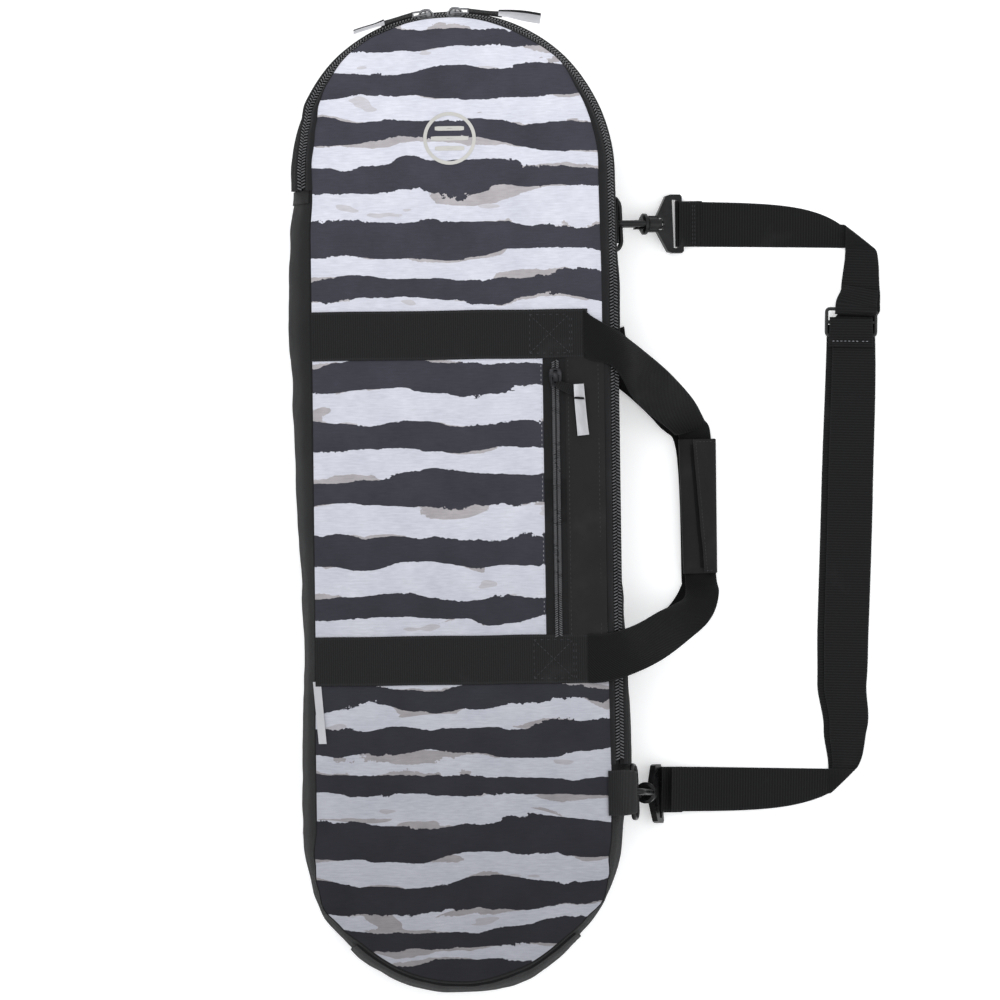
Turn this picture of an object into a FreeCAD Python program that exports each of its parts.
import FreeCAD, Part
import math
import os

import Sketcher
from FreeCAD import Matrix, Placement, Rotation, Vector

# Short padded board bag, lying on its back. Millimetres.
# +Z up out of the printed front, +Y towards the zipped nose, +X towards the carry handles.
# The origin is on the back face, midway between the centres of the two round ends.

# ---------------------------------------------------------------- driving sizes

SIZES = [
    # the outline and the padded layers
    ("side_radius", 140.0),      # half the bag's width, and the radius of both round ends
    ("half_straight", 280.0),    # from the origin to the centre of each round end
    ("front_radius", 122.5),     # the printed panel's own half width
    ("front_shift", 3.0),        # the front sits this much up and right of the outline
    ("front_reach", 6.0),        # and its nose reaches this much further
    ("foam_radius", 112.5),
    ("back_radius", 122.9),
    ("back_fabric", 3.0),
    ("back_foam", 5.0),
    ("lining", 1.0),
    ("front_z", 95.0),           # underside of the printed panel
    ("front_fabric", 2.0),
    ("front_foam", 4.0),
    ("pouch", 1.0),
    # the zip's two ends, where the lid's fold line starts and stops
    ("zip_end_left", 268.0),
    ("zip_end_right", -226.0),
    ("fold_gap", 0.4),
    # the sloping zip band between wall and lid
    ("part_inset", 5.5),         # parting line of the two coils
    ("part_z", 87.0),
    ("slope_in", 0.5665),
    ("slope_up", 0.8240),
    ("band_half", 9.7),          # from the parting line to either edge of the band
    ("coil_gap", 0.6),
    ("coil_wide", 3.2),
    ("coil_high", 2.2),
    ("tape", 1.0),
    # webbing
    ("webbing_wide", 40.0),
    ("webbing", 1.4),
    ("upper_webbing", 142.6),    # Y of the two carry webbings
    ("lower_webbing", -135.0),
    ("handle_pivot", 114.0),     # X where the front handle leaves the lid
    ("back_pivot", 128.0),       # X where the back handle leaves the back
    # pocket
    ("pocket_zip", 86.0),        # X of the pocket's zip
    ("pocket_left", 75.0),
    ("pocket_top", 122.0),
    ("pocket_low", -114.0),
    ("pocket_slider_start", 106.0),
    # D rings and snap hooks
    ("ring_wire", 2.0),
    ("ring_inside", 41.0),
    ("ring_depth", 17.0),
    ("hook_rod", 2.8),
    ("hook_eye", 6.2),
    ("hook_length", 54.0),       # from the eye to the webbing bar
    # shoulder strap
    ("strap_z", 3.2),
    ("corner_top_across", 345.0),
    ("corner_top_along", 237.5),
    ("corner_low_across", 327.5),
    ("corner_low_along", -250.0),
]

doc = FreeCAD.newDocument("BoardBag")
sizes = doc.addObject("Spreadsheet::Sheet", "Sizes")
for row, (alias, number) in enumerate(SIZES, start=1):
    sizes.set(f"A{row}", alias)
    sizes.set(f"B{row}", str(number))
    sizes.setAlias(f"B{row}", alias)
doc.recompute()

nodes = {}  # the name of each sub-part and its object


def value(expression):
    """An expression on the sheet's cells, as a number."""
    return float(sizes.evalExpression(str(expression)))


def s(alias):
    return float(sizes.get(alias))


def node(name, item):
    item.Label = name
    nodes[name] = item
    return item


# ---------------------------------------------------------------- sketching helpers

def new_body(name):
    return doc.addObject("PartDesign::Body", name)


def new_sketch(body, plane, offset="0"):
    """A sketch on one of the body's own origin planes, moved along its normal by an expression."""
    sketch = body.newObject("Sketcher::SketchObject", body.Name + "_sketch")
    support = next(f for f in body.Origin.OriginFeatures if f.Role == plane)
    sketch.AttachmentSupport = [(support, "")]
    sketch.MapMode = "FlatFace"
    sketch.AttachmentOffset = Placement(Vector(0, 0, value(offset)), Rotation())
    sketch.setExpression("AttachmentOffset.Base.z", str(offset))
    return sketch


def pin_point(sketch, geometry, end, x, y):
    """Ties one end of a piece of geometry to two expressions."""
    for kind, expression in (("DistanceX", x), ("DistanceY", y)):
        index = sketch.addConstraint(Sketcher.Constraint(kind, -1, 1, geometry, end, value(expression)))
        sketch.setExpression(f"Constraints[{index}]", str(expression))


def draw_polygon(sketch, corners):
    """A closed polygon whose corners are pairs of expressions."""
    points = [Vector(value(x), value(y), 0) for x, y in corners]
    lines = []
    for here, after in zip(points, points[1:] + points[:1]):
        lines.append(sketch.addGeometry(Part.LineSegment(here, after)))
    for line, after in zip(lines, lines[1:] + lines[:1]):
        sketch.addConstraint(Sketcher.Constraint("Coincident", line, 2, after, 1))
    for line, (x, y) in zip(lines, corners):
        pin_point(sketch, line, 1, x, y)


def draw_circle(sketch, x, y, radius):
    circle = sketch.addGeometry(
        Part.Circle(Vector(value(x), value(y), 0), Vector(0, 0, 1), value(radius)))
    index = sketch.addConstraint(Sketcher.Constraint("Radius", circle, value(radius)))
    sketch.setExpression(f"Constraints[{index}]", str(radius))
    pin_point(sketch, circle, 3, x, y)


def draw_stadium(sketch, radius, shift="0", reach="0"):
    """Two half circles joined by two straight sides, moved by shift along both axes.
    The circle at the nose is a further reach away."""
    r, half, move = value(radius), s("half_straight"), value(shift)
    nose = half + move + value(reach)
    up = Vector(0, 0, 1)
    top = sketch.addGeometry(
        Part.ArcOfCircle(Part.Circle(Vector(move, nose, 0), up, r), 0, math.pi))
    low = sketch.addGeometry(
        Part.ArcOfCircle(Part.Circle(Vector(move, move - half, 0), up, r), math.pi, 2 * math.pi))
    left = sketch.addGeometry(
        Part.LineSegment(Vector(move - r, nose, 0), Vector(move - r, move - half, 0)))
    right = sketch.addGeometry(
        Part.LineSegment(Vector(move + r, move - half, 0), Vector(move + r, nose, 0)))
    for a, end_a, b, end_b in ((top, 2, left, 1), (left, 2, low, 1), (low, 2, right, 1), (right, 2, top, 1)):
        sketch.addConstraint(Sketcher.Constraint("Tangent", a, end_a, b, end_b))
    index = sketch.addConstraint(Sketcher.Constraint("Radius", top, r))
    sketch.setExpression(f"Constraints[{index}]", str(radius))
    pin_point(sketch, top, 3, shift, f"Sizes.half_straight + ({shift}) + ({reach})")
    pin_point(sketch, low, 3, shift, f"({shift}) - Sizes.half_straight")


def add_pad(body, sketch, length, both_ways=False):
    pad = body.newObject("PartDesign::Pad", body.Name + "_pad")
    pad.Profile = sketch
    pad.Length = value(length)
    pad.setExpression("Length", str(length))
    pad.Midplane = both_ways
    sketch.Visibility = False
    doc.recompute()
    return pad


def add_pocket(body, sketch, length, both_ways=True, reversed_way=False):
    """Cuts a sketch out of the body, and stops if nothing came off."""
    doc.recompute()
    before = body.Shape.Volume
    pocket = body.newObject("PartDesign::Pocket", body.Name + "_pocket")
    pocket.Profile = sketch
    pocket.Length = value(length)
    pocket.setExpression("Length", str(length))
    pocket.Midplane = both_ways
    pocket.Reversed = reversed_way
    doc.recompute()
    if body.Shape.Volume > before - 1e-6:
        raise RuntimeError(f"{pocket.Name} cut nothing")
    return pocket


def add_pipe(body, profile, path, transition="Transformed"):
    pipe = body.newObject("PartDesign::AdditivePipe", body.Name + "_pipe")
    pipe.Profile = profile
    pipe.Spine = (path, [f"Edge{i + 1}" for i in range(len(path.Geometry))])
    pipe.Transition = transition
    doc.recompute()
    return pipe


def round_edges(body, picked, radius):
    """Fillets the edges of the body's tip that picked() accepts."""
    doc.recompute()
    tip = body.Tip
    names = [f"Edge{i + 1}" for i, edge in enumerate(tip.Shape.Edges) if picked(edge)]
    fillet = body.newObject("PartDesign::Fillet", body.Name + "_fillet")
    fillet.Base = (tip, names)
    fillet.Radius = radius
    doc.recompute()
    return fillet


def along(axis, minimum=0.0):
    """Accepts a straight edge that runs along an axis and is longer than minimum."""
    def picked(edge):
        if edge.Curve.TypeId != "Part::GeomLine" or edge.Length <= minimum:
            return False
        return abs(abs(edge.tangentAt(edge.FirstParameter).dot(axis)) - 1) < 1e-6
    return picked


# ---------------------------------------------------------------- solids made the same way

def slab(name, radius, shift, low, thick, reach="0"):
    """A layer with the bag's outline."""
    body = new_body(name)
    sketch = new_sketch(body, "XY_Plane", low)
    draw_stadium(sketch, radius, shift, reach)
    add_pad(body, sketch, thick)
    return body


def block(name, corners, low, thick):
    """A plate with a straight-sided outline."""
    body = new_body(name)
    sketch = new_sketch(body, "XY_Plane", low)
    draw_polygon(sketch, corners)
    add_pad(body, sketch, thick)
    return body


def rectangle(x0, x1, y0, y1):
    return [(x0, y0), (x1, y0), (x1, y1), (x0, y1)]


def both(kind, name, base, tool):
    """A boolean of two objects: kind is Cut or Common."""
    result = doc.addObject("Part::" + kind, name)
    result.Base = base
    result.Tool = tool
    return result


def union(name, items):
    result = doc.addObject("Part::MultiFuse", name)
    result.Shapes = items
    return result


def group(name, items):
    result = doc.addObject("Part::Compound", name)
    result.Links = items
    return result


def loft(name, stations):
    """A twisting strap: stations are (centre, across, up, width, thickness), joined by ruled faces."""
    wires = []
    for centre, across, up, wide, thick in stations:
        a = Vector(across).normalize() * (wide / 2)
        b = Vector(up)
        b = (b - a * (b.dot(a) / a.dot(a))).normalize() * (thick / 2)
        c = Vector(centre)
        wires.append(Part.makePolygon([c - a - b, c + a - b, c + a + b, c - a + b, c - a - b]))
    solid = Part.makeLoft(wires, True, True)
    item = doc.addObject("Part::Feature", name)
    item.Shape = solid
    item.Placement = Placement()
    return item


def frame_at(origin, x, z):
    """The placement whose X and Z axes are the two directions, the second squared to the first."""
    x = Vector(x).normalize()
    z = Vector(z)
    z = (z - x * z.dot(x)).normalize()
    y = z.cross(x)
    return Placement(Matrix(x.x, y.x, z.x, origin[0], x.y, y.y, z.y, origin[1],
                            x.z, y.z, z.z, origin[2], 0, 0, 0, 1))


# ---------------------------------------------------------------- the walls and the zip

ZIP_PATH, LEFT_PATH, LOW_PATH, RIGHT_PATH, SCUFF_PATH = range(5)


def draw_path(sketch, which):
    """One stretch of the bag's outline, as an open line at half the bag's width from its middle."""
    r, half = s("side_radius"), s("half_straight")
    left_end, right_end = s("zip_end_left"), s("zip_end_right")
    up = Vector(0, 0, 1)

    def straight(x, y0, y1, x_text, y0_text, y1_text):
        line = sketch.addGeometry(Part.LineSegment(Vector(x, y0, 0), Vector(x, y1, 0)))
        pin_point(sketch, line, 1, x_text, y0_text)
        pin_point(sketch, line, 2, x_text, y1_text)

    def curve(y, begin, finish, y_text):
        arc = sketch.addGeometry(Part.ArcOfCircle(Part.Circle(Vector(0, y, 0), up, r), begin, finish))
        index = sketch.addConstraint(Sketcher.Constraint("Radius", arc, r))
        sketch.setExpression(f"Constraints[{index}]", "Sizes.side_radius")
        index = sketch.addConstraint(Sketcher.Constraint("DistanceY", -1, 1, arc, 3, value(y_text)))
        sketch.setExpression(f"Constraints[{index}]", y_text)

    left, right = "-Sizes.side_radius", "Sizes.side_radius"
    top, low = "Sizes.half_straight", "-Sizes.half_straight"
    if which == ZIP_PATH:
        straight(-r, left_end, half, left, "Sizes.zip_end_left", top)
        curve(half, 0, math.pi, top)
        straight(r, half, right_end, right, top, "Sizes.zip_end_right")
    elif which == LEFT_PATH:
        straight(-r, left_end, -half, left, "Sizes.zip_end_left", low)
    elif which == LOW_PATH:
        curve(-half, math.pi, 2 * math.pi, low)
    elif which == RIGHT_PATH:
        straight(r, -half, right_end, right, low, "Sizes.zip_end_right")
    elif which == SCUFF_PATH:
        curve(-half, math.radians(215), math.radians(320), low)


def band(name, which, profile):
    """A piece that runs along a stretch of the outline. Its profile is (inset, height) expressions."""
    body = new_body(name)
    path = new_sketch(body, "XY_Plane")
    draw_path(path, which)
    if which == RIGHT_PATH:
        section = new_sketch(body, "XZ_Plane", "Sizes.half_straight")
        corners = [(f"Sizes.side_radius - ({i})", z) for i, z in profile]
    else:
        start = "-Sizes.zip_end_left" if which in (ZIP_PATH, LEFT_PATH) else "Sizes.half_straight"
        section = new_sketch(body, "XZ_Plane", start)
        corners = [(f"({i}) - Sizes.side_radius", z) for i, z in profile]
    draw_polygon(section, corners)
    add_pipe(body, section, path)
    return node(name, body)


def on_slope(up_slope, outward):
    """A point of the zip band, from the parting line, as (inset, height) expressions."""
    inset = f"Sizes.part_inset + Sizes.slope_in * ({up_slope}) - Sizes.slope_up * ({outward})"
    height = f"Sizes.part_z + Sizes.slope_up * ({up_slope}) + Sizes.slope_in * ({outward})"
    return inset, height


# Plain wall on the left side and round the tail: it bulges near the floor and leans in to the front.
PLAIN_WALL = [(8, 0), (0, 35), (3, 62), (10, 81), (19.6, 96.4), (30, 96.4), (30, 95), (20.8, 95),
              (13.1, 80), (6.3, 61), (3.4, 35), (10.7, 2.5), (17.1, 2.5), (17.1, 0)]
# Wall under the zip: tucked in at the floor, widest at the shoulder.
ZIP_WALL = [(13, 1.9), (12, 34), (0.5, 68), (0, 79), (0.9, 78.4), (3, 76.5), (3.8, 68.6), (15, 35), (17.1, 1.9)]


def make_walls():
    band("side_panel_left", LEFT_PATH, PLAIN_WALL)
    band("bottom_cap", LOW_PATH, PLAIN_WALL)
    band("side_panel_right", RIGHT_PATH, PLAIN_WALL)
    band("zip_gusset", ZIP_PATH, ZIP_WALL)


def make_zip():
    gap, wide, high = "Sizes.coil_gap", "Sizes.coil_gap + Sizes.coil_wide", "Sizes.coil_high"
    half, tape = "Sizes.band_half", "Sizes.tape"
    band("zip_tape_body", ZIP_PATH, [on_slope(f"-({half})", 0), on_slope(f"-({gap})", 0),
                                     on_slope(f"-({gap})", f"-{tape}"), on_slope(f"-({half}) + 0.2", f"-{tape}")])
    band("zip_coil_body", ZIP_PATH, [on_slope(f"-({wide})", 0), on_slope(f"-({gap})", 0),
                                     on_slope(f"-({gap})", high), on_slope(f"-({wide})", high)])
    band("zip_tape_lid", ZIP_PATH, [on_slope(gap, 0), on_slope(half, 0),
                                    on_slope(half, f"-{tape}"), on_slope(gap, f"-{tape}")])
    band("zip_coil_lid", ZIP_PATH, [on_slope(gap, 0), on_slope(wide, 0),
                                    on_slope(wide, high), on_slope(gap, high)])
    # the dark border turns from the zip band into a flange under the printed panel
    band("lid_border", ZIP_PATH, [on_slope(f"{wide} + 0.4", 0), on_slope(half, 0), (26, 95),
                                  (26, 96.4), (10.2, 96.4), on_slope(f"{wide} + 0.4", 1.4)])


def make_bottom_patch():
    """The second layer of cloth that takes the wear at the tail."""
    band("bottom_scuff_patch", SCUFF_PATH, [(6.7, 3), (-0.6, 35), (2.4, 62.2), (9.3, 81.2), (16.4, 92.4),
                                            (16.1, 91), (9.98, 81.02), (2.98, 62), (-0.02, 35), (7.3, 3)])


# ---------------------------------------------------------------- the layers

def fold_line():
    """The two ends of the fold and the way across it, towards the lid."""
    a = Vector(7 - s("side_radius"), s("zip_end_left"), 0)
    b = Vector(s("side_radius") - 26, s("zip_end_right"), 0)
    run = (b - a).normalize()
    return a, b, Vector(-run.y, run.x, 0)


def make_zone(name, gap):
    """A prism over the lid: beyond the fold, and above the zip's right end to the right of it."""
    a, b, across = fold_line()
    run = (b - a).normalize()
    start = a - run * 170 + across * gap
    turn = b + across * gap + run * (across.y * gap - gap) / abs(run.y)
    corners = [(start.x, start.y), (turn.x, turn.y), (260, turn.y), (260, 600), (start.x, 600)]
    return block(name, corners, "80", "30")


def make_back():
    strip_low = rectangle(-150, 150, "Sizes.lower_webbing - Sizes.webbing_wide / 2 - 0.5",
                          "Sizes.lower_webbing + Sizes.webbing_wide / 2 + 0.5")
    strip_top = rectangle(-150, 150, "Sizes.upper_webbing - Sizes.webbing_wide / 2 - 0.5",
                          "Sizes.upper_webbing + Sizes.webbing_wide / 2 + 0.5")
    channels = group("channels", [
        block("channel_low", strip_low, "-1", "Sizes.webbing + 1.1"),
        block("channel_top", strip_top, "-1", "Sizes.webbing + 1.1")])
    full = slab("back_outline", "Sizes.back_radius", "0", "0", "Sizes.back_fabric")
    node("back_panel", both("Cut", "back_panel", full, channels))
    node("back_foam", slab("back_foam", "Sizes.back_radius - 2", "0",
                           "Sizes.back_fabric", "Sizes.back_foam"))
    node("back_lining", slab("back_lining", "Sizes.back_radius - 2", "0",
                             "Sizes.back_fabric + Sizes.back_foam", "Sizes.lining"))
    strips = []
    for name, y in (("low", "Sizes.lower_webbing"), ("top", "Sizes.upper_webbing")):
        corners = rectangle(-122, "Sizes.back_pivot - 0.3", f"{y} - Sizes.webbing_wide / 2",
                            f"{y} + Sizes.webbing_wide / 2")
        strips.append(block("back_strip_" + name, corners, "0", "Sizes.webbing"))
    node("back_webbing", group("back_webbing", strips))


def make_front():
    """Printed cloth, foam and lining, each cut in two along the fold."""
    lid_zone = make_zone("lid_zone", s("fold_gap"))
    fixed_zone = make_zone("fixed_zone", 0)
    shift = "Sizes.front_shift"
    foam_low = "Sizes.front_z - Sizes.front_foam"

    cloth = slab("front_outline", "Sizes.front_radius", shift, "Sizes.front_z + 1.4",
                 "Sizes.front_fabric - 0.4", "Sizes.front_reach")
    node("front_panel_fixed", both("Cut", "front_panel_fixed", cloth, fixed_zone))
    lid_cloth = both("Common", "lid_cloth", cloth, lid_zone)
    yoke_area = block("yoke_area", rectangle("Sizes.pocket_left", 140, "Sizes.pocket_low", "Sizes.pocket_top"),
                      "Sizes.front_z", "6")
    node("lid_panel", both("Cut", "lid_panel", lid_cloth, yoke_area))
    mouth = block("pocket_mouth", rectangle("Sizes.pocket_zip - 5.6", "Sizes.pocket_zip + 5.6",
                                            "Sizes.pocket_low - 2", "Sizes.pocket_top + 2"), "94", "6")
    node("pocket_yoke", both("Cut", "pocket_yoke", both("Common", "yoke_cloth", lid_cloth, yoke_area), mouth))

    foam = slab("foam_outline", "Sizes.foam_radius", shift, foam_low, "Sizes.front_foam")
    node("front_foam_fixed", both("Cut", "front_foam_fixed", foam, fixed_zone))
    node("lid_foam", both("Common", "lid_foam", foam, lid_zone))
    lining = slab("lining_outline", "Sizes.foam_radius", shift, foam_low + " - Sizes.lining", "Sizes.lining")
    node("front_lining_fixed", both("Cut", "front_lining_fixed", lining, fixed_zone))
    node("lid_lining", both("Common", "lid_lining", lining, lid_zone))
    pouch = block("pouch_area", rectangle(-90, "Sizes.pocket_zip + 14", "Sizes.pocket_low + 6",
                                          "Sizes.pocket_top - 4"), "Sizes.front_z", "Sizes.pouch")
    node("pocket_bag", both("Common", "pocket_bag", pouch, lid_zone))

    strips = []
    for name, y in (("low", "Sizes.lower_webbing"), ("top", "Sizes.upper_webbing")):
        corners = rectangle(-118, "Sizes.handle_pivot - 0.3", f"{y} - Sizes.webbing_wide / 2",
                            f"{y} + Sizes.webbing_wide / 2")
        strips.append(block("front_strip_" + name, corners, "Sizes.front_z + 3", "Sizes.webbing"))
    webbing = group("front_strips", strips)
    node("front_webbing_fixed", both("Cut", "front_webbing_fixed", webbing, fixed_zone))
    node("front_webbing_lid", both("Common", "front_webbing_lid", webbing, lid_zone))


def make_pocket_zip():
    """Two tapes and two coils on either side of the pocket's mouth, flat on the lid."""
    low, high = "Sizes.pocket_low + 2", "Sizes.pocket_top - 2"
    x, gap = "Sizes.pocket_zip", "Sizes.coil_gap"
    parts = []
    for side, sign in (("left", -1), ("right", 1)):
        ends = [f"{x} + {sign} * {gap}", f"{x} + {sign} * 8.5"]
        if sign < 0:
            ends.reverse()
        parts.append(block("pocket_tape_" + side, rectangle(ends[0], ends[1], low, high),
                           "Sizes.front_z + 3", "0.8"))
        ends = [f"{x} + {sign} * {gap}", f"{x} + {sign} * ({gap} + Sizes.coil_wide)"]
        if sign < 0:
            ends.reverse()
        parts.append(block("pocket_coil_" + side, rectangle(ends[0], ends[1], low, high),
                           "Sizes.front_z + 3.8", "1.8"))
    node("pocket_zip_tape", group("pocket_zip_tape", parts[0::2]))
    node("pocket_zip_coil", group("pocket_zip_coil", parts[1::2]))


def make_trim():
    """A round emblem and a folded side label, and the two stops that end the zip."""
    body = new_body("emblem")
    sketch = new_sketch(body, "XY_Plane", "Sizes.front_z + 3")
    draw_circle(sketch, -4, 310, 24)
    add_pad(body, sketch, "0.4")
    node("emblem", body)
    node("side_label", block("side_label", rectangle(-118, -109.5, -205, -161), "Sizes.front_z + 3", "0.8"))


# ---------------------------------------------------------------- zip sliders and pulls

def slider(name, placement, lid_side):
    """Plates above the coils and behind the tape, a web in the gap, and a bridge for the pull.
    X is the way it runs, Y is across the tape and Z is out of it. lid_side is the sign of Y on
    the side where a lid lifts away, which is kept clear, or 0 where both tapes stay."""
    body = new_body(name)
    top = "Sizes.coil_high + 0.3"
    outline = [(-7, -3.4), (-5, -5.4), (5.5, -4.7), (7, -3), (7, 3), (5.5, 4.7), (-5, 5.4), (-7, 3.4)]
    inner = [-4.6, 4.6]
    if lid_side:
        half = [(x, y) for x, y in outline if y * lid_side < 0]
        outline = half + [(7 * lid_side, 0.45 * lid_side), (-7 * lid_side, 0.45 * lid_side)]
        inner = sorted([-4.6 * lid_side, 0.3 * lid_side])
    sketch = new_sketch(body, "XY_Plane", top)
    draw_polygon(sketch, outline)
    add_pad(body, sketch, "1.4")
    web = new_sketch(body, "XY_Plane", "-2.4")
    draw_polygon(web, rectangle(-5.5, -1.5, -0.3, 0.3))
    add_pad(body, web, f"{top} + 3")
    plate = new_sketch(body, "XY_Plane", "-2.5")
    draw_polygon(plate, rectangle(-6, 5, inner[0], inner[1]))
    add_pad(body, plate, "1.2")
    bridge = new_sketch(body, "XZ_Plane")
    base = value(top) + 1.2
    draw_polygon(bridge, [(-5, base), (-4.2, base + 4.8), (-2.6, base + 5.8), (2.6, base + 5.8),
                          (4.2, base + 4.8), (5, base), (3.4, base), (2.8, base + 4), (1.8, base + 4.5),
                          (-1.8, base + 4.5), (-2.8, base + 4), (-3.4, base)])
    add_pad(body, bridge, "3.2", both_ways=True)
    body.Placement = placement
    return node(name, body)


PULL_AXIS = 6.6  # height of the bail's rod above the tape, inside the bridge


def pull(suffix, placement, lengths, turns, lean):
    """A wire bail, a short woven tape and a ribbon, in the slider's own axes, lying along +X.
    The turns are about the slider's own normal, and lean tips the tape and the ribbon about its Y."""
    bail_long, tape_long, ribbon_long = lengths
    bail = new_body("pull_bail_" + suffix)
    path = new_sketch(bail, "XY_Plane", PULL_AXIS)
    draw_polygon(path, [(0, 0), (0, 3.4), (bail_long, 3.4), (bail_long, -3.4), (0, -3.4)])
    section = new_sketch(bail, "XZ_Plane")
    draw_circle(section, 0, PULL_AXIS, 0.75)
    add_pipe(bail, section, path, "Right corner")
    bail.Placement = placement
    node("pull_bail_" + suffix, bail)

    tape = new_body("pull_tape_" + suffix)
    sketch = new_sketch(tape, "XY_Plane", -1.1)
    draw_polygon(sketch, rectangle(0, tape_long, -4, 4))
    add_pad(tape, sketch, "2.2")
    round_edges(tape, along(Vector(0, 0, 1)), 1.2)
    clear = bail_long + 1 + abs(math.sin(math.radians(turns[0]))) * 4
    knee = Placement(Vector(clear, 0, PULL_AXIS), Rotation(Vector(0, 1, 0), lean[0])
                     * Rotation(Vector(0, 0, 1), turns[0]))
    tape.Placement = placement * knee
    node("pull_tape_" + suffix, tape)

    ribbon = new_body("pull_ribbon_" + suffix)
    sketch = new_sketch(ribbon, "XY_Plane", -0.5)
    draw_polygon(sketch, [(0, -4.5), (ribbon_long - 5, -4.5), (ribbon_long, 4.5), (0, 4.5)])
    add_pad(ribbon, sketch, "1.0")
    start = tape_long + 0.5 + abs(math.sin(math.radians(turns[1]))) * 4.5
    tip = Placement(Vector(start, 0, 0),
                    Rotation(Vector(0, 1, 0), lean[1]) * Rotation(Vector(0, 0, 1), turns[1]))
    ribbon.Placement = placement * knee * tip
    node("pull_ribbon_" + suffix, ribbon)


def main_slider_place(angle, way):
    """Where a slider sits on the round end of the zip: way is 1 to run towards the left."""
    a = math.radians(angle)
    out = Vector(math.cos(a), math.sin(a), 0)
    forward = Vector(-math.sin(a), math.cos(a), 0) * way
    radius = s("side_radius") - s("part_inset")
    origin = Vector(0, s("half_straight"), 0) + out * radius + Vector(0, 0, s("part_z"))
    normal = out * s("slope_up") + Vector(0, 0, s("slope_in"))
    return frame_at(origin, forward, normal)


def make_sliders():
    left, right = main_slider_place(98.5, 1), main_slider_place(88, -1)
    slider("slider_left", left, 1)
    slider("slider_right", right, -1)
    pull("left", left, (11, 24, 34), (0, 0), (7, 4))
    pull("right", right, (11, 20, 20), (0, 0), (7, -4))
    flat = frame_at((s("pocket_zip"), s("pocket_slider_start"), s("front_z") + 3.8), (0, -1, 0), (0, 0, 1))
    slider("pocket_slider", flat, 0)
    pull("pocket", flat, (8, 14, 44), (38, -33), (11, -10))


# ---------------------------------------------------------------- carry handles

def make_front_handle():
    """Webbing from the lid over the shoulder and down to the grip, gathered inside the wrap."""
    x0 = s("handle_pivot") + 0.3
    top, low, z = s("upper_webbing"), s("lower_webbing"), s("front_z") + 3 + s("webbing") / 2
    thick, wide = s("webbing"), s("webbing_wide")
    node("front_handle_webbing", loft("front_handle_webbing", [
        ((x0, top, z), (0, 1, 0), (0, 0, 1), wide, thick),
        ((132, 137, z + 0.1), (0.2, 1, 0), (0, 0, 1), wide, thick),
        ((151, 119, 88), (0.6, 0.9, -0.2), (0.3, 0, 1), wide, thick),
        ((174, 93, 60), (0.95, 0.75, -0.45), (0.7, 0.2, 1), 38, thick),
        ((196, 71, 27), (1, 0.35, -0.2), (0.5, 0.8, 0.8), 34, 2.4),
        ((207.7, 53, 9.5), (1, -0.01, 0), (0, 0, 1), 29, 6),
        ((208.9, -66, 9.5), (1, -0.01, 0), (0, 0, 1), 29, 6),
        ((202, -87, 24), (1, -0.5, -0.1), (0.5, -0.8, 0.8), 35, 2.4),
        ((180, -112, 58), (0.8, -0.9, -0.4), (0.6, 0, 1), 38, thick),
        ((152, -127, 88), (0.5, -1, -0.2), (0.3, 0, 1), wide, thick),
        ((132, -134, z + 0.1), (0.1, -1, 0), (0, 0, 1), wide, thick),
        ((x0, low, z), (0, -1, 0), (0, 0, 1), wide, thick)]))


GRIP = Placement(Vector(208.3, -6.5, 9.5), Rotation(Vector(0, 0, 1), 0.6))
GRIP_LONG = 116


def make_grip():
    """A padded sleeve round the webbing, and a flap that closes it with hook and loop tape."""
    half = GRIP_LONG / 2
    sleeve = new_body("grip_wrap")
    sketch = new_sketch(sleeve, "XZ_Plane", -half)
    draw_polygon(sketch, [(-16.5, -3), (-14, -6), (14, -6), (16.5, -3), (16.5, 3), (14, 5), (-14, 5), (-16.5, 3)])
    add_pad(sleeve, sketch, GRIP_LONG)
    bore = new_sketch(sleeve, "XZ_Plane", -half)
    draw_polygon(bore, rectangle(-14.6, 14.6, -3.1, 3.1))
    add_pocket(sleeve, bore, 4 * half)
    sleeve.Placement = GRIP
    node("grip_wrap", sleeve)
    for name, x0, x1, low, thick, inset in (("grip_loop_strip", -2, 13, 5, 0.7, 4),
                                            ("grip_hook_strip", 1, 13, 5.9, 0.7, 4),
                                            ("grip_flap", -0.5, 16.2, 6.6, 1.4, 0)):
        piece = block(name, rectangle(x0, x1, inset - half, half - inset), low, thick)
        piece.Placement = GRIP
        node(name, piece)


def make_back_handle():
    x0 = s("back_pivot") + 0.3
    z, thick, wide = s("webbing") / 2, s("webbing"), s("webbing_wide")
    up = (0, 0, 1)
    node("back_handle_webbing", loft("back_handle_webbing", [
        ((x0, s("upper_webbing"), z), (0, 1, 0), up, wide, thick),
        ((147, 124, z), (0.55, 0.9, 0), up, wide, thick),
        ((168, 100, z), (0.75, 0.65, 0), up, 38, thick),
        ((188, 76, z), (0.9, 0.4, 0), up, 34, thick),
        ((204, 46, z), (1, 0.05, 0), up, 29, thick),
        ((207.5, -58, z), (1, 0, 0), up, 29, thick),
        ((202, -82, z), (0.95, -0.35, 0), up, 31, thick),
        ((182, -104, z), (0.6, -0.8, 0), up, 36, thick),
        ((153, -123, z), (0.35, -0.95, 0), up, wide, thick),
        ((x0, s("lower_webbing"), z), (0, -1, 0), up, wide, thick)]))


# ---------------------------------------------------------------- D rings, hooks and strap

TOP_BAR = Vector(133.8, 238, 38.4)   # middle of each D ring's straight bar
LOW_BAR = Vector(147.5, -250, 75.0)
BAR_WAY = (TOP_BAR - LOW_BAR).normalize()


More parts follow.
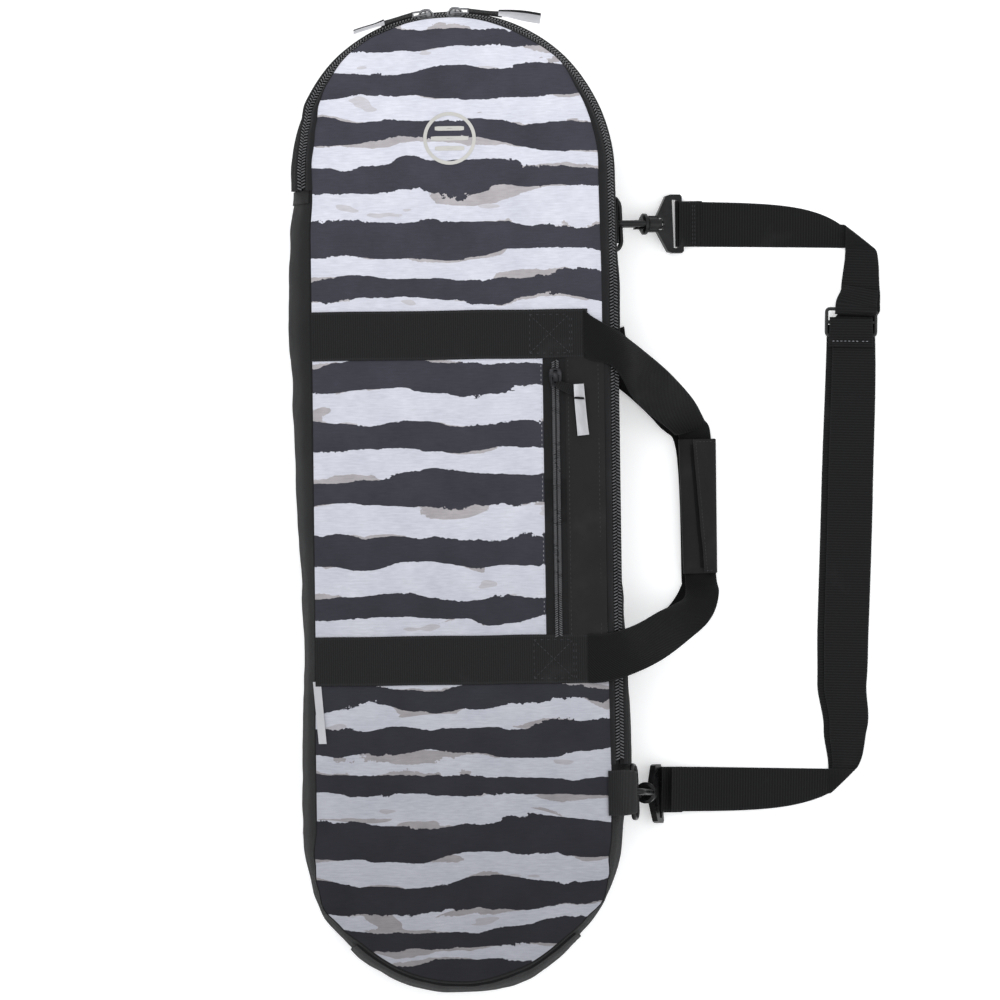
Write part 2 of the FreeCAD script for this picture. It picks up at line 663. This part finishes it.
def ring_place(bar, drop):
    """Axes of a D ring: X from the bar to the bow, Y along the bar."""
    x = Vector(math.cos(math.radians(drop)), 0, -math.sin(math.radians(drop)))
    x = (x - BAR_WAY * x.dot(BAR_WAY)).normalize()
    return frame_at(bar, x, x.cross(BAR_WAY))


def d_ring(name, placement):
    """Wire bent to a D and closed: a bar, two shoulders and a round bow."""
    body = new_body(name)
    path = new_sketch(body, "XY_Plane")
    half, depth = s("ring_inside") / 2 + s("ring_wire"), s("ring_depth")
    small, big = 3.0, 9.0
    up = Vector(0, 0, 1)
    path.addGeometry(Part.LineSegment(Vector(0, small - half), Vector(0, half - small)))
    path.addGeometry(Part.ArcOfCircle(Part.Circle(Vector(small, half - small), up, small),
                                      math.pi / 2, math.pi))
    path.addGeometry(Part.LineSegment(Vector(small, half), Vector(depth - big, half)))
    path.addGeometry(Part.ArcOfCircle(Part.Circle(Vector(depth - big, half - big), up, big), 0, math.pi / 2))
    path.addGeometry(Part.LineSegment(Vector(depth, half - big), Vector(depth, big - half)))
    path.addGeometry(Part.ArcOfCircle(Part.Circle(Vector(depth - big, big - half), up, big),
                                      -math.pi / 2, 0))
    path.addGeometry(Part.LineSegment(Vector(depth - big, -half), Vector(small, -half)))
    path.addGeometry(Part.ArcOfCircle(Part.Circle(Vector(small, small - half), up, small),
                                      math.pi, 3 * math.pi / 2))
    section = new_sketch(body, "XZ_Plane", half - small)
    draw_circle(section, 0, 0, "Sizes.ring_wire")
    add_pipe(body, section, path)
    body.Placement = placement
    return node(name, body)


def ring_tab(name, ring, legs):
    """Webbing folded round a ring's bar. legs are blocks of webbing, as (start, way, length, normal)."""
    sleeve = new_body(name + "_sleeve")
    sketch = new_sketch(sleeve, "XZ_Plane")
    inside = s("ring_wire") + 0.3
    draw_circle(sketch, 0, 0, inside + s("webbing"))
    draw_circle(sketch, 0, 0, inside)
    add_pad(sleeve, sketch, "Sizes.webbing_wide - 8", both_ways=True)
    sleeve.Placement = ring
    pieces = [sleeve]
    half = "Sizes.webbing_wide / 2 - 0.6"
    for i, (start, way, length, normal) in enumerate(legs):
        leg = block(f"{name}_leg{i}", rectangle(0, length, f"-({half})", half), "0", "Sizes.webbing")
        leg.Placement = frame_at(start, way, normal)
        pieces.append(leg)
    return pieces


def make_rings():
    top, low = ring_place(TOP_BAR, 52), ring_place(LOW_BAR, 78)
    d_ring("d_ring_upper", top)
    d_ring("d_ring_lower", low)
    outside = s("ring_wire") + 0.3 + s("webbing")
    # the upper tab lies up the outside of the wall, which leans out as it rises
    wall_way = Vector(11.5, 0, 34)
    wall_way = (wall_way - BAR_WAY * wall_way.dot(BAR_WAY)).normalize()
    wall_out = BAR_WAY.cross(wall_way)
    start = TOP_BAR - wall_out * (outside - 0.02) + wall_way * 1.5
    pieces = ring_tab("tab_upper", top, [(start, wall_way, 26, wall_out)])
    node("d_ring_tab_upper", union("d_ring_tab_upper", pieces))
    # the lower tab comes from the front panel's edge over the shoulder
    seam = Vector(s("side_radius") - 20, LOW_BAR.y, s("front_z") + 3.0)
    knee = Vector(s("side_radius") - 12, LOW_BAR.y, s("front_z") + 3.0)
    end = LOW_BAR + Vector(outside - 1.4, 0, 1.0)
    slope = end - knee
    slope = (slope - BAR_WAY * slope.dot(BAR_WAY)).normalize()
    slope_out = BAR_WAY.cross(slope) * -1
    pieces = ring_tab("tab_lower", low, [
        (seam, Vector(1, 0, 0), knee.x - seam.x + 0.6, Vector(0, 0, 1)),
        (knee, slope, (end - knee).Length, slope_out)])
    node("d_ring_tab_lower", union("d_ring_tab_lower", pieces))


def hook_place(ring, reach):
    """Axes of a hook: X from its eye to its webbing bar, Y along the D ring's bow."""
    eye = ring.multVec(Vector(s("ring_depth"), 0, 0))
    return eye, frame_at(eye, reach, reach.cross(-BAR_WAY) * -1)


GATE_PIN = (16.4, -4.8)


def hook(suffix, placement):
    """A plastic swivel snap hook: finger, sprung gate, and the yoke that holds the webbing."""
    eye, rod, length = s("hook_eye"), s("hook_rod"), s("hook_length")

    finger = new_body("hook_finger_" + suffix)
    path = new_sketch(finger, "XZ_Plane")
    path.addGeometry(Part.ArcOfCircle(Part.Circle(Vector(0, 0, 0), Vector(0, 0, 1), eye),
                                      math.radians(90), math.radians(262)))
    path.addGeometry(Part.LineSegment(Vector(0, eye, 0), Vector(21, eye, 0)))
    path.addConstraint(Sketcher.Constraint("Tangent", 0, 1, 1, 1))
    section = new_sketch(finger, "YZ_Plane", "21")
    draw_circle(section, 0, "Sizes.hook_eye", "Sizes.hook_rod")
    add_pipe(finger, section, path)
    collar = new_sketch(finger, "XZ_Plane")
    draw_polygon(collar, [(19, 0), (19, 7), (20.5, 9.2), (23, 9.2), (25, 7), (25, 2.6), (34.2, 2.6),
                          (34.2, 4.4), (37, 4.4), (37, 0)])
    turn = finger.newObject("PartDesign::Revolution", finger.Name + "_collar")
    turn.Profile = collar
    turn.ReferenceAxis = (collar, ["H_Axis"])
    turn.Angle = 360
    doc.recompute()
    cheeks = new_sketch(finger, "XZ_Plane")
    draw_polygon(cheeks, [(14.2, -7), (20, -7), (20, -2), (15, -2), (14.2, -3)])
    add_pad(finger, cheeks, "8", both_ways=True)
    room = new_sketch(finger, "XZ_Plane")
    draw_polygon(room, rectangle(13, 18.8, -9, -1))
    add_pocket(finger, room, "5")
    pin = new_sketch(finger, "XZ_Plane")
    draw_circle(pin, GATE_PIN[0], GATE_PIN[1], 0.93)
    add_pad(finger, pin, "8", both_ways=True)
    finger.Placement = placement
    node("hook_finger_" + suffix, finger)

    gate = new_body("hook_gate_" + suffix)
    sketch = new_sketch(gate, "XZ_Plane")
    draw_polygon(sketch, [(0.6, -5.8), (1.6, -8.4), (15.6, -7.2), (18.3, -5.6), (18.3, -3.4), (15.8, -2.8),
                          (13, -4.8)])
    draw_circle(sketch, GATE_PIN[0], GATE_PIN[1], 1)
    add_pad(gate, sketch, "4.4", both_ways=True)
    gate.Placement = placement
    node("hook_gate_" + suffix, gate)

    yoke = new_body("hook_base_" + suffix)
    half = s("webbing_wide") / 2 + 1
    sketch = new_sketch(yoke, "XY_Plane", "-2.5")
    draw_polygon(sketch, [(25.3, -7), (33, -7), (length - 12, -half - 3.2), (length - 8, -half - 4.4),
                          (length + 1, -half - 4.4), (length + 2.6, -half - 2.6), (length + 2.6, half + 2.6),
                          (length + 1, half + 4.4), (length - 8, half + 4.4), (length - 12, half + 3.2),
                          (33, 7), (25.3, 7)])
    add_pad(yoke, sketch, "5")
    boss = new_sketch(yoke, "YZ_Plane", "25.3")
    draw_circle(boss, 0, 0, 6.4)
    add_pad(yoke, boss, "8.6")
    bore = new_sketch(yoke, "YZ_Plane", "20")
    draw_circle(bore, 0, 0, 2.68)
    add_pocket(yoke, bore, "40")
    window = new_sketch(yoke, "XY_Plane")
    draw_polygon(window, rectangle(33.9, 38.6, -5.2, 5.2))
    add_pocket(yoke, window, "20")
    slot = new_sketch(yoke, "XY_Plane")
    draw_polygon(slot, rectangle(length - 6.6, length - 1.8, -half, half))
    add_pocket(yoke, slot, "20")
    yoke.Placement = placement
    node("hook_base_" + suffix, yoke)


def hook_reach(ring, bar_height):
    """The way a hook hangs from its D ring when its webbing bar is at a height above the floor."""
    eye = ring.multVec(Vector(s("ring_depth"), 0, 0))
    drop = (eye.z - bar_height) / s("hook_length")
    return Vector(math.sqrt(1 - drop * drop), 0, -drop)


def make_hooks():
    top_ring, low_ring = ring_place(TOP_BAR, 52), ring_place(LOW_BAR, 78)
    places = {}
    for suffix, ring, bar_height in (("upper", top_ring, 7.2), ("lower", low_ring, 8.2)):
        reach = hook_reach(ring, bar_height)
        reach = (reach - BAR_WAY * reach.dot(BAR_WAY)).normalize()
        _, places[suffix] = hook_place(ring, reach)
        hook(suffix, places[suffix])
    return places


def fold_corners(centre, before, after, half):
    """The two ends of the crease where flat webbing turns from one way to another."""
    crease = (before + after).normalize()
    side = Vector(-before.y, before.x, 0)
    stretch = half / abs(crease.dot(side))
    return centre - crease * stretch, centre + crease * stretch


def flat_piece(name, corners, low, thick):
    return block(name, [(c.x, c.y) for c in corners], low, thick)


def make_strap(hooks):
    """Webbing on the floor: one layer from the upper hook, two from the adjuster to the lower hook."""
    half, thick = s("webbing_wide") / 2, s("webbing")
    c1 = Vector(s("corner_top_across"), s("corner_top_along"), 0)
    c2 = Vector(s("corner_low_across"), s("corner_low_along"), 0)
    out, back = Vector(1, 0, 0), Vector(-1, 0, 0)
    down = (c2 - c1).normalize()
    side = Vector(-down.y, down.x, 0)
    side_z = s("strap_z")
    bar_top = hooks["upper"].multVec(Vector(s("hook_length"), 0, 0))
    bar_low = hooks["lower"].multVec(Vector(s("hook_length"), 0, 0))
    crease_a, crease_b = fold_corners(c1, out, down, half)
    crease_c, crease_d = fold_corners(c2, down, back, half)
    start, stop = bar_top.x + 22, bar_low.x + 26
    pieces = [
        flat_piece("strap_top", [Vector(start, c1.y + half), Vector(start, c1.y - half), crease_b, crease_a],
                   0, thick),
        flat_piece("strap_side", [crease_a, crease_b, crease_c, crease_d], side_z, 2 * thick + 0.1),
        flat_piece("strap_low", [crease_c, crease_d, Vector(stop, c2.y - half), Vector(stop, c2.y + half)],
                   0, 2 * thick + 0.1)]
    for name, p, q, way in (("top", crease_a, crease_b, down), ("low", crease_c, crease_d, down * -1)):
        inward = (Vector(-1, -1, 0) if name == "top" else Vector(-1, 1, 0)).normalize() * 1.6
        pieces.append(flat_piece("strap_crease_" + name, [p, q, q + inward, p + inward],
                                 2 * thick + 0.1 if name == "low" else thick,
                                 side_z - (2 * thick + 0.1 if name == "low" else thick)))
    # each end rises from the floor and turns round the hook's bar
    for name, place, bar, y, x1, layers in (("top", hooks["upper"], bar_top, c1.y, start, 1),
                                            ("low", hooks["lower"], bar_low, c2.y, stop, 2)):
        deep = thick * layers + (0.1 if layers > 1 else 0)
        width_way = place.Rotation.multVec(Vector(0, 1, 0))
        normal = place.Rotation.multVec(Vector(0, 0, 1))
        length = s("hook_length")
        wrap = block("strap_wrap_" + name, rectangle(length - 3.9, length - 2.3, -half, half), "-2.9", "5.7")
        wrap.Placement = place
        pieces.append(wrap)
        first = place.multVec(Vector(length - 3.9, 0, 2.9 + deep / 2))
        second = place.multVec(Vector(length + 3.6, 0, 2.9 + deep / 2))
        last = Vector(x1, y, deep / 2)
        pieces.append(loft("strap_rise_" + name, [
            (first, width_way, normal, 2 * half, deep),
            (second, width_way, normal, 2 * half, deep),
            ((second + last) / 2 + Vector(0, 0, -0.6), width_way + Vector(0, math.copysign(1, width_way.y), 0),
             (0, 0, 1), 2 * half, deep),
            (last, (0, math.copysign(1, width_way.y), 0), (0, 0, 1), 2 * half, deep)]))
    node("shoulder_webbing", group("shoulder_webbing", pieces))
    return c1, down, side


ADJUSTER_FROM_CORNER = 87.0


def make_adjuster(corner, down, side):
    """A three-bar slider: two bars under the webbing, one above it, and the webbing's sewn end."""
    half = s("webbing_wide") / 2 + 1
    place = frame_at(corner + down * ADJUSTER_FROM_CORNER, down, Vector(0, 0, 1))
    frame = new_body("adjuster_frame")
    sketch = new_sketch(frame, "XY_Plane", "0.2")
    draw_polygon(sketch, [(-15, -half), (-15, -half - 4), (15, -half - 4), (15, -half), (13, -half + 1.5 - 2.5),
                          (-13, -half - 1)])
    add_pad(frame, sketch, "9.6")
    frame_parts = [frame]
    for name, corners, low, thick in (
            ("adjuster_rail", rectangle(-15, 15, half, half + 4), 0.2, 9.6),
            ("adjuster_bar_a", rectangle(-15, -11.5, -half - 1, half + 1), 0.2, 2.7),
            ("adjuster_bar_b", rectangle(11.5, 15, -half - 1, half + 1), 0.2, 2.7),
            ("adjuster_bar_c", rectangle(-1.6, 1.6, -half - 1, half + 1), 7.7, 2.1)):
        frame_parts.append(block(name, corners, low, thick))
    for part in frame_parts:
        part.Placement = place
    node("adjuster_frame", union("adjuster_frame", frame_parts))
    loop = new_body("adjuster_loop")
    sketch = new_sketch(loop, "XZ_Plane")
    draw_polygon(sketch, [(-3.1, 6.4), (27, 6.4), (27, 8.9), (14, 11.1), (-1.8, 11.1), (-3.1, 9.9)])
    add_pad(loop, sketch, "Sizes.webbing_wide", both_ways=True)
    gap = new_sketch(loop, "XZ_Plane")
    draw_polygon(gap, [(-1.75, 7.6), (10, 7.6), (10, 9.9), (-1.75, 9.9)])
    add_pocket(loop, gap, 200)
    loop.Placement = place
    node("adjuster_loop", loop)


# ---------------------------------------------------------------- build, check and write

def check_all():
    doc.recompute()
    for item in doc.Objects:
        if "Invalid" in item.State or "Error" in item.State:
            raise RuntimeError(f"{item.Name} failed: {item.State}")
    for name, item in nodes.items():
        shape = item.Shape
        if shape.isNull() or not shape.isValid() or not shape.Solids:
            raise RuntimeError(f"{name} has no valid solid")
        if any(solid.Volume <= 0 for solid in shape.Solids):
            raise RuntimeError(f"{name} has a solid that is inside out")


def write_parts():
    os.makedirs("parts", exist_ok=True)
    for old in os.listdir("parts"):
        if old.endswith(".step"):
            os.remove(os.path.join("parts", old))
    for name, item in nodes.items():
        item.Shape.exportStep(f"parts/{name}.step")
    print(len(nodes), "sub-parts")


make_walls()
make_zip()
make_bottom_patch()
make_back()
make_front()
make_pocket_zip()
make_trim()
make_sliders()
make_front_handle()
make_grip()
make_back_handle()
make_rings()
make_adjuster(*make_strap(make_hooks()))
check_all()
write_parts()
